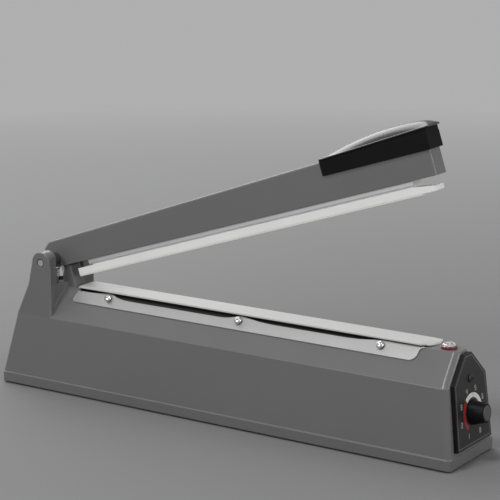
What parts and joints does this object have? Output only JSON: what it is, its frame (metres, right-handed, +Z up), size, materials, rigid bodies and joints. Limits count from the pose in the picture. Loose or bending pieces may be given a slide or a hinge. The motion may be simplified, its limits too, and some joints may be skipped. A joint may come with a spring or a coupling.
{
  "type": "impulse sealer",
  "caption": "Hand-operated impulse heat sealer: a sprung pressing arm closes on a cloth-covered heated platform, with a timer dial and lamp on a tapered base.",
  "frame": {"origin": "centre of the bounding box in plan, on the underside of the feet, with the arm open at rest", "axes": "+X runs along the machine from the hinge to the dial, +Y across it, +Z up"},
  "size_m": [0.5664, 0.09, 0.3265],
  "materials": {
    "grey_paint": "semi-gloss smooth grey enamel",
    "zinc_steel": "zinc plated",
    "bright_steel": "nickel plated",
    "aluminium": "satin",
    "white_bar": "white powder coat",
    "silicone": "matte white silicone",
    "release_cloth": "glass cloth coated with fluoropolymer",
    "black_gloss": "gloss",
    "black_matte": "matte",
    "panel_black": "satin",
    "rubber": "matte",
    "nylon": "moulded natural nylon",
    "switch_grey": "moulded",
    "switch_white": "moulded white",
    "black_bar": "black phenolic laminate",
    "bakelite": "moulded phenolic",
    "brass": "plain",
    "tape": "woven glass tape",
    "core_steel": "varnished laminations",
    "winding": "taped enamelled wire",
    "board": "solder mask",
    "relay_blue": "moulded",
    "cap_blue": "sleeved",
    "print_red": "printed ink",
    "print_white": "printed ink",
    "cap_grey": "satin",
    "lens_clear": "clear faceted",
    "lens_red": "dark red faceted"
  },
  "bodies": {
    "base": {"housing": "grey_paint", "bottom_plate": "zinc_steel", "bottom_screws": "bright_steel", "rubber_feet": "rubber", "cable_inlet": "black_matte", "inlet_nut": "black_matte", "hinge_pin": "bright_steel", "pin_clips": "zinc_steel", "pin_spacers": "black_matte", "stop_studs": "zinc_steel", "return_spring": "bright_steel", "spring_anchor": "zinc_steel", "microswitch": "switch_grey", "switch_bracket": "zinc_steel", "switch_screws": "bright_steel", "platform_bar": "black_bar", "insulation_tape": "tape", "heating_ribbon": "zinc_steel", "release_cloth": "release_cloth", "clamp_plate_near": "aluminium", "clamp_plate_far": "aluminium", "clamp_screws_near": "bright_steel", "clamp_screws_far": "bright_steel", "terminal_blocks": "bakelite", "terminal_screws": "brass", "transformer_core": "core_steel", "transformer_winding": "winding", "transformer_bracket": "zinc_steel", "transformer_screws": "bright_steel", "timer_board": "board", "timer_relay": "relay_blue", "timer_capacitors": "cap_blue", "potentiometer": "zinc_steel", "pot_nut": "zinc_steel", "front_panel": "panel_black", "panel_screw": "black_matte", "dial_arc_red": "print_red", "dial_arc_white": "print_white", "dial_numbers": "print_white", "lamp_lens": "lens_clear", "lamp_ring": "lens_red", "lamp_body": "nylon"},
    "arm": {"arm": "grey_paint", "hinge_tube": "zinc_steel", "spring_pin": "zinc_steel", "channel": "aluminium", "channel_bolts": "bright_steel", "channel_spacers": "aluminium", "presser_bar": "white_bar", "silicone_strip": "silicone", "handle": "black_gloss", "handle_screws": "bright_steel"},
    "plunger": {"switch_plunger": "switch_white"},
    "dial": {"knob": "black_matte", "knob_cap": "cap_grey", "knob_pointer": "print_white", "pot_shaft": "aluminium"}
  },
  "joints": [
    {"name": "arm_hinge", "type": "hinge", "parent": "base", "child": "arm", "pos_m": [-0.23066, 0, 0.1377], "axis": [0, 1, 0], "range_deg": [0, 17.85], "stiffness_Nm_per_rad": 6, "springref_deg": -34.38, "deforming": ["return_spring"]},
    {"name": "switch_press", "type": "slide", "parent": "base", "child": "plunger", "axis": [0, 0, -1], "range_m": [0, 0.0008]},
    {"name": "knob_turn", "type": "hinge", "parent": "base", "child": "dial", "pos_m": [0.2619, 0, 0.0484], "axis": [0.9945, 0, 0.1045], "range_deg": [0, 300]}
  ],
  "couplings": [
    {"joint": "switch_press", "follows": "arm_hinge", "m_per_rad": 0.0025}
  ]
}
